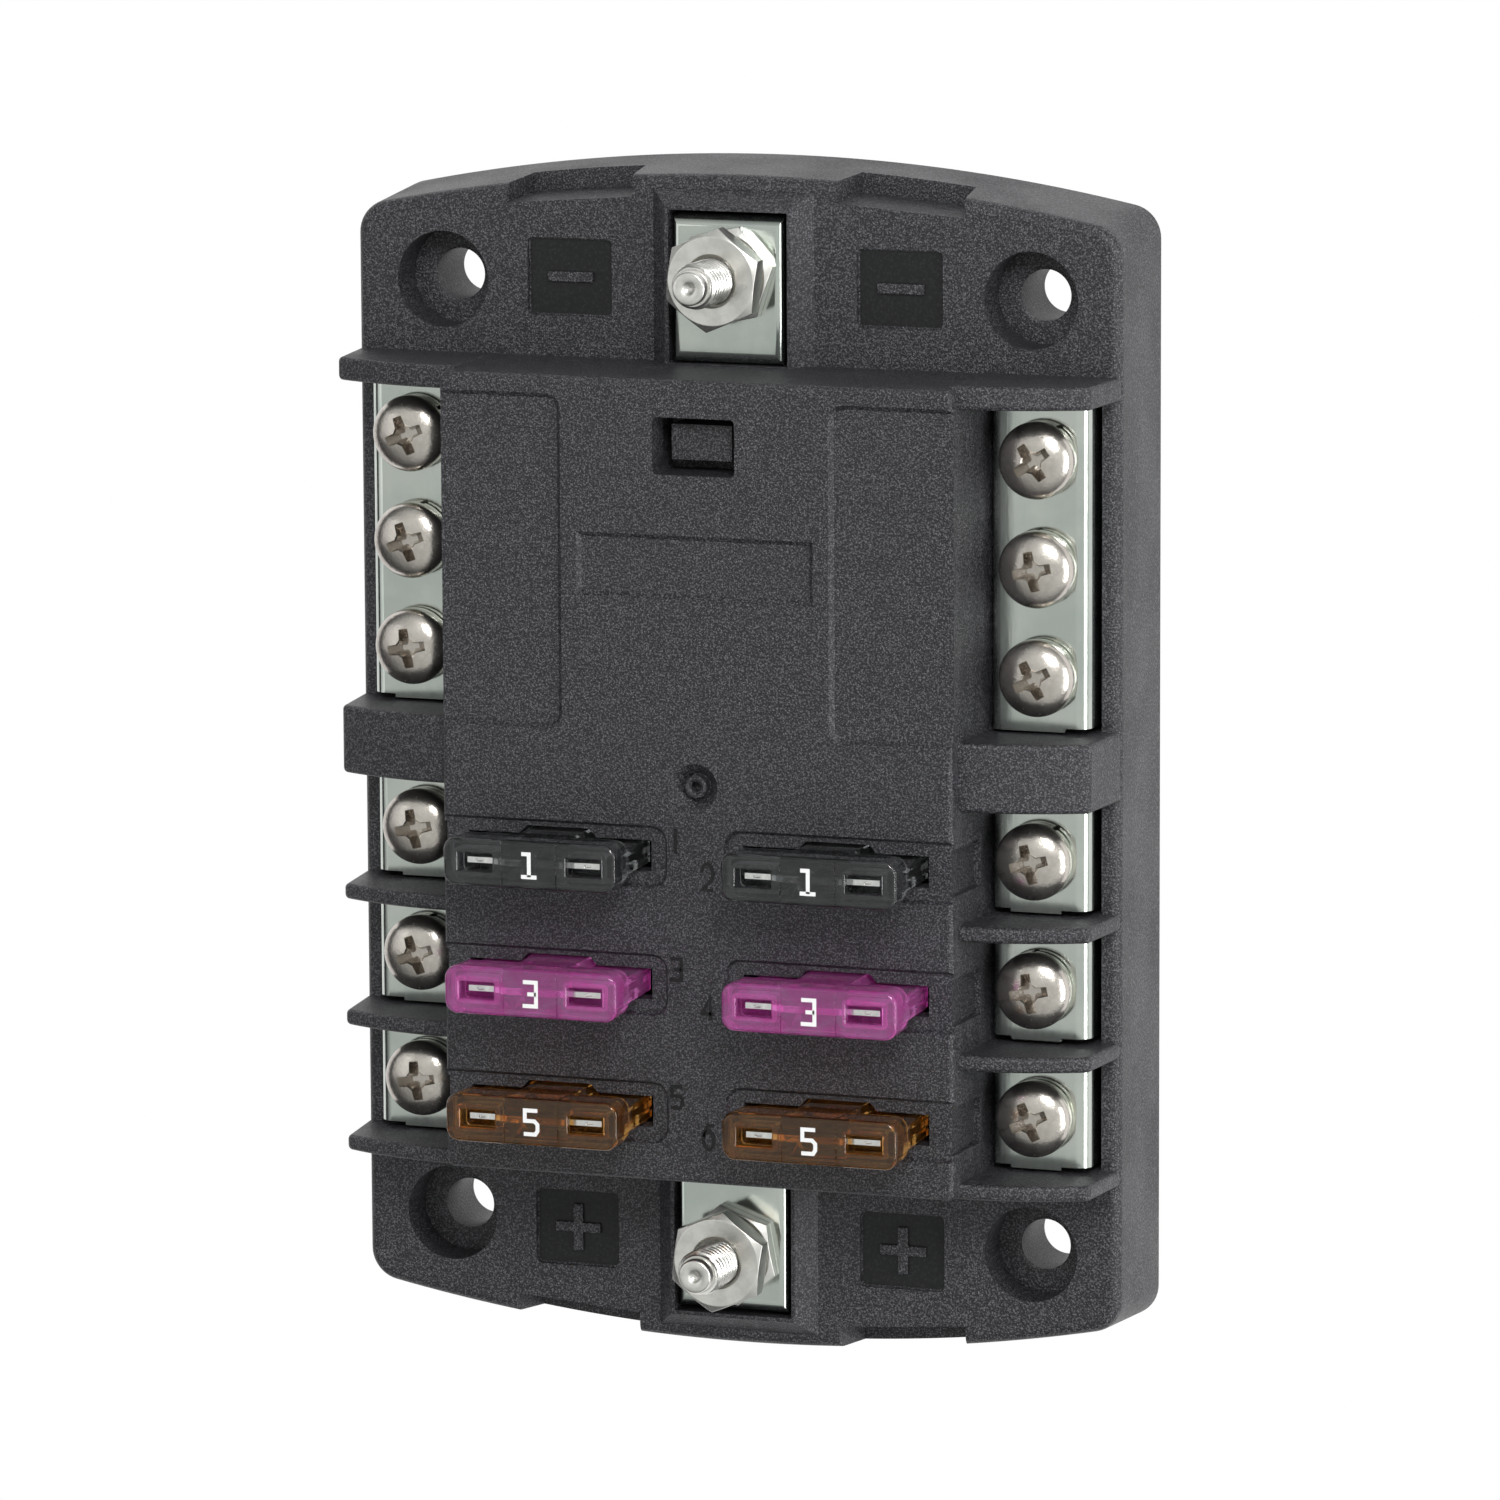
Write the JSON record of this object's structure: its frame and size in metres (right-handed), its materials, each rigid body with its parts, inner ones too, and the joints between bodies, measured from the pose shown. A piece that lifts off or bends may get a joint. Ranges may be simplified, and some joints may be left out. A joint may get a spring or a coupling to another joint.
{
  "type": "blade fuse block",
  "caption": "Surface-mount fuse block for blade fuses: a textured housing with a central tower, screw terminals in side bays and a threaded stud at each end.",
  "frame": {"origin": "middle of the back face that is screwed to a panel", "axes": "+Z out of the front, +Y along the length to the negative stud, +X to the even numbered circuits"},
  "size_m": [0.085, 0.1264, 0.0345],
  "materials": {
    "housing": "fine texture",
    "back_plate": "smooth",
    "tinned_sheet": "bright tin plate",
    "nickel": "bright nickel plate",
    "spring_steel": "plated spring steel",
    "fuse_black": "dark translucent",
    "fuse_violet": "violet translucent",
    "fuse_amber": "amber translucent",
    "fuse_metal": "bright zinc"
  },
  "bodies": {
    "block": {"housing": "housing", "back_plate": "back_plate", "negative_bus": "tinned_sheet", "positive_bus": "tinned_sheet", "output_terminal_1": "tinned_sheet", "output_terminal_2": "tinned_sheet", "output_terminal_3": "tinned_sheet", "output_terminal_4": "tinned_sheet", "output_terminal_5": "tinned_sheet", "output_terminal_6": "tinned_sheet", "stud_negative": "nickel", "stud_positive": "nickel", "jam_nut_negative": "nickel", "jam_nut_positive": "nickel"},
    "fuse_1": {"fuse_1_body": "fuse_black", "fuse_1_element": "fuse_metal"},
    "output_1_rise": {"output_washer_1": "spring_steel"},
    "output_1_turn": {"output_screw_1": "nickel"},
    "negative_1_rise": {"negative_washer_1": "spring_steel"},
    "negative_1_turn": {"negative_screw_1": "nickel"},
    "fuse_2": {"fuse_2_body": "fuse_black", "fuse_2_element": "fuse_metal"},
    "output_2_rise": {"output_washer_2": "spring_steel"},
    "output_2_turn": {"output_screw_2": "nickel"},
    "negative_2_rise": {"negative_washer_2": "spring_steel"},
    "negative_2_turn": {"negative_screw_2": "nickel"},
    "fuse_3": {"fuse_3_body": "fuse_violet", "fuse_3_element": "fuse_metal"},
    "output_3_rise": {"output_washer_3": "spring_steel"},
    "output_3_turn": {"output_screw_3": "nickel"},
    "negative_3_rise": {"negative_washer_3": "spring_steel"},
    "negative_3_turn": {"negative_screw_3": "nickel"},
    "fuse_4": {"fuse_4_body": "fuse_violet", "fuse_4_element": "fuse_metal"},
    "output_4_rise": {"output_washer_4": "spring_steel"},
    "output_4_turn": {"output_screw_4": "nickel"},
    "negative_4_rise": {"negative_washer_4": "spring_steel"},
    "negative_4_turn": {"negative_screw_4": "nickel"},
    "fuse_5": {"fuse_5_body": "fuse_amber", "fuse_5_element": "fuse_metal"},
    "output_5_rise": {"output_washer_5": "spring_steel"},
    "output_5_turn": {"output_screw_5": "nickel"},
    "negative_5_rise": {"negative_washer_5": "spring_steel"},
    "negative_5_turn": {"negative_screw_5": "nickel"},
    "fuse_6": {"fuse_6_body": "fuse_amber", "fuse_6_element": "fuse_metal"},
    "output_6_rise": {"output_washer_6": "spring_steel"},
    "output_6_turn": {"output_screw_6": "nickel"},
    "negative_6_rise": {"negative_washer_6": "spring_steel"},
    "negative_6_turn": {"negative_screw_6": "nickel"},
    "stud_negative_rise": {"stud_washer_negative": "spring_steel"},
    "stud_negative_turn": {"stud_nut_negative": "nickel"},
    "stud_positive_rise": {"stud_washer_positive": "spring_steel"},
    "stud_positive_turn": {"stud_nut_positive": "nickel"}
  },
  "joints": [
    {"name": "fuse_1_pull", "type": "slide", "parent": "block", "child": "fuse_1", "axis": [0, 0, 1], "range_m": [0, 0.02]},
    {"name": "output_1_lift", "type": "slide", "parent": "block", "child": "output_1_rise", "axis": [0, 0, 1], "range_m": [0, 0.00476]},
    {"name": "output_1_unscrew", "type": "hinge", "parent": "output_1_rise", "child": "output_1_turn", "pos_m": [-0.03416, -0.00761, 0.018], "axis": [0, 0, 1], "range_deg": [0, 2162]},
    {"name": "negative_1_lift", "type": "slide", "parent": "block", "child": "negative_1_rise", "axis": [0, 0, 1], "range_m": [0, 0.00476]},
    {"name": "negative_1_unscrew", "type": "hinge", "parent": "negative_1_rise", "child": "negative_1_turn", "pos_m": [-0.0346, 0.0344, 0.018], "axis": [0, 0, 1], "range_deg": [0, 2162]},
    {"name": "fuse_2_pull", "type": "slide", "parent": "block", "child": "fuse_2", "axis": [0, 0, 1], "range_m": [0, 0.02]},
    {"name": "output_2_lift", "type": "slide", "parent": "block", "child": "output_2_rise", "axis": [0, 0, 1], "range_m": [0, 0.00476]},
    {"name": "output_2_unscrew", "type": "hinge", "parent": "output_2_rise", "child": "output_2_turn", "pos_m": [0.03416, -0.00761, 0.018], "axis": [0, 0, 1], "range_deg": [0, 2162]},
    {"name": "negative_2_lift", "type": "slide", "parent": "block", "child": "negative_2_rise", "axis": [0, 0, 1], "range_m": [0, 0.00476]},
    {"name": "negative_2_unscrew", "type": "hinge", "parent": "negative_2_rise", "child": "negative_2_turn", "pos_m": [0.0346, 0.0344, 0.018], "axis": [0, 0, 1], "range_deg": [0, 2162]},
    {"name": "fuse_3_pull", "type": "slide", "parent": "block", "child": "fuse_3", "axis": [0, 0, 1], "range_m": [0, 0.02]},
    {"name": "output_3_lift", "type": "slide", "parent": "block", "child": "output_3_rise", "axis": [0, 0, 1], "range_m": [0, 0.00476]},
    {"name": "output_3_unscrew", "type": "hinge", "parent": "output_3_rise", "child": "output_3_turn", "pos_m": [-0.03416, -0.02122, 0.018], "axis": [0, 0, 1], "range_deg": [0, 2162]},
    {"name": "negative_3_lift", "type": "slide", "parent": "block", "child": "negative_3_rise", "axis": [0, 0, 1], "range_m": [0, 0.00476]},
    {"name": "negative_3_unscrew", "type": "hinge", "parent": "negative_3_rise", "child": "negative_3_turn", "pos_m": [-0.0346, 0.02307, 0.018], "axis": [0, 0, 1], "range_deg": [0, 2162]},
    {"name": "fuse_4_pull", "type": "slide", "parent": "block", "child": "fuse_4", "axis": [0, 0, 1], "range_m": [0, 0.02]},
    {"name": "output_4_lift", "type": "slide", "parent": "block", "child": "output_4_rise", "axis": [0, 0, 1], "range_m": [0, 0.00476]},
    {"name": "output_4_unscrew", "type": "hinge", "parent": "output_4_rise", "child": "output_4_turn", "pos_m": [0.03416, -0.02122, 0.018], "axis": [0, 0, 1], "range_deg": [0, 2162]},
    {"name": "negative_4_lift", "type": "slide", "parent": "block", "child": "negative_4_rise", "axis": [0, 0, 1], "range_m": [0, 0.00476]},
    {"name": "negative_4_unscrew", "type": "hinge", "parent": "negative_4_rise", "child": "negative_4_turn", "pos_m": [0.0346, 0.02307, 0.018], "axis": [0, 0, 1], "range_deg": [0, 2162]},
    {"name": "fuse_5_pull", "type": "slide", "parent": "block", "child": "fuse_5", "axis": [0, 0, 1], "range_m": [0, 0.02]},
    {"name": "output_5_lift", "type": "slide", "parent": "block", "child": "output_5_rise", "axis": [0, 0, 1], "range_m": [0, 0.00476]},
    {"name": "output_5_unscrew", "type": "hinge", "parent": "output_5_rise", "child": "output_5_turn", "pos_m": [-0.03416, -0.03481, 0.018], "axis": [0, 0, 1], "range_deg": [0, 2162]},
    {"name": "negative_5_lift", "type": "slide", "parent": "block", "child": "negative_5_rise", "axis": [0, 0, 1], "range_m": [0, 0.00476]},
    {"name": "negative_5_unscrew", "type": "hinge", "parent": "negative_5_rise", "child": "negative_5_turn", "pos_m": [-0.0346, 0.01174, 0.018], "axis": [0, 0, 1], "range_deg": [0, 2162]},
    {"name": "fuse_6_pull", "type": "slide", "parent": "block", "child": "fuse_6", "axis": [0, 0, 1], "range_m": [0, 0.02]},
    {"name": "output_6_lift", "type": "slide", "parent": "block", "child": "output_6_rise", "axis": [0, 0, 1], "range_m": [0, 0.00476]},
    {"name": "output_6_unscrew", "type": "hinge", "parent": "output_6_rise", "child": "output_6_turn", "pos_m": [0.03416, -0.03481, 0.018], "axis": [0, 0, 1], "range_deg": [0, 2162]},
    {"name": "negative_6_lift", "type": "slide", "parent": "block", "child": "negative_6_rise", "axis": [0, 0, 1], "range_m": [0, 0.00476]},
    {"name": "negative_6_unscrew", "type": "hinge", "parent": "negative_6_rise", "child": "negative_6_turn", "pos_m": [0.0346, 0.01174, 0.018], "axis": [0, 0, 1], "range_deg": [0, 2162]},
    {"name": "stud_negative_lift", "type": "slide", "parent": "block", "child": "stud_negative_rise", "axis": [0, 0, 1], "range_m": [0, 0.00476]},
    {"name": "stud_negative_unscrew", "type": "hinge", "parent": "stud_negative_rise", "child": "stud_negative_turn", "pos_m": [0, 0.052, 0.018], "axis": [0, 0, 1], "range_deg": [0, 2162]},
    {"name": "stud_positive_lift", "type": "slide", "parent": "block", "child": "stud_positive_rise", "axis": [0, 0, 1], "range_m": [0, 0.00476]},
    {"name": "stud_positive_unscrew", "type": "hinge", "parent": "stud_positive_rise", "child": "stud_positive_turn", "pos_m": [0, -0.052, 0.018], "axis": [0, 0, 1], "range_deg": [0, 2162]}
  ],
  "couplings": [
    {"joint": "output_1_unscrew", "follows": "output_1_lift", "rad_per_m": 7915.8},
    {"joint": "negative_1_unscrew", "follows": "negative_1_lift", "rad_per_m": 7915.8},
    {"joint": "output_2_unscrew", "follows": "output_2_lift", "rad_per_m": 7915.8},
    {"joint": "negative_2_unscrew", "follows": "negative_2_lift", "rad_per_m": 7915.8},
    {"joint": "output_3_unscrew", "follows": "output_3_lift", "rad_per_m": 7915.8},
    {"joint": "negative_3_unscrew", "follows": "negative_3_lift", "rad_per_m": 7915.8},
    {"joint": "output_4_unscrew", "follows": "output_4_lift", "rad_per_m": 7915.8},
    {"joint": "negative_4_unscrew", "follows": "negative_4_lift", "rad_per_m": 7915.8},
    {"joint": "output_5_unscrew", "follows": "output_5_lift", "rad_per_m": 7915.8},
    {"joint": "negative_5_unscrew", "follows": "negative_5_lift", "rad_per_m": 7915.8},
    {"joint": "output_6_unscrew", "follows": "output_6_lift", "rad_per_m": 7915.8},
    {"joint": "negative_6_unscrew", "follows": "negative_6_lift", "rad_per_m": 7915.8},
    {"joint": "stud_negative_unscrew", "follows": "stud_negative_lift", "rad_per_m": 7915.8},
    {"joint": "stud_positive_unscrew", "follows": "stud_positive_lift", "rad_per_m": 7915.8}
  ]
}
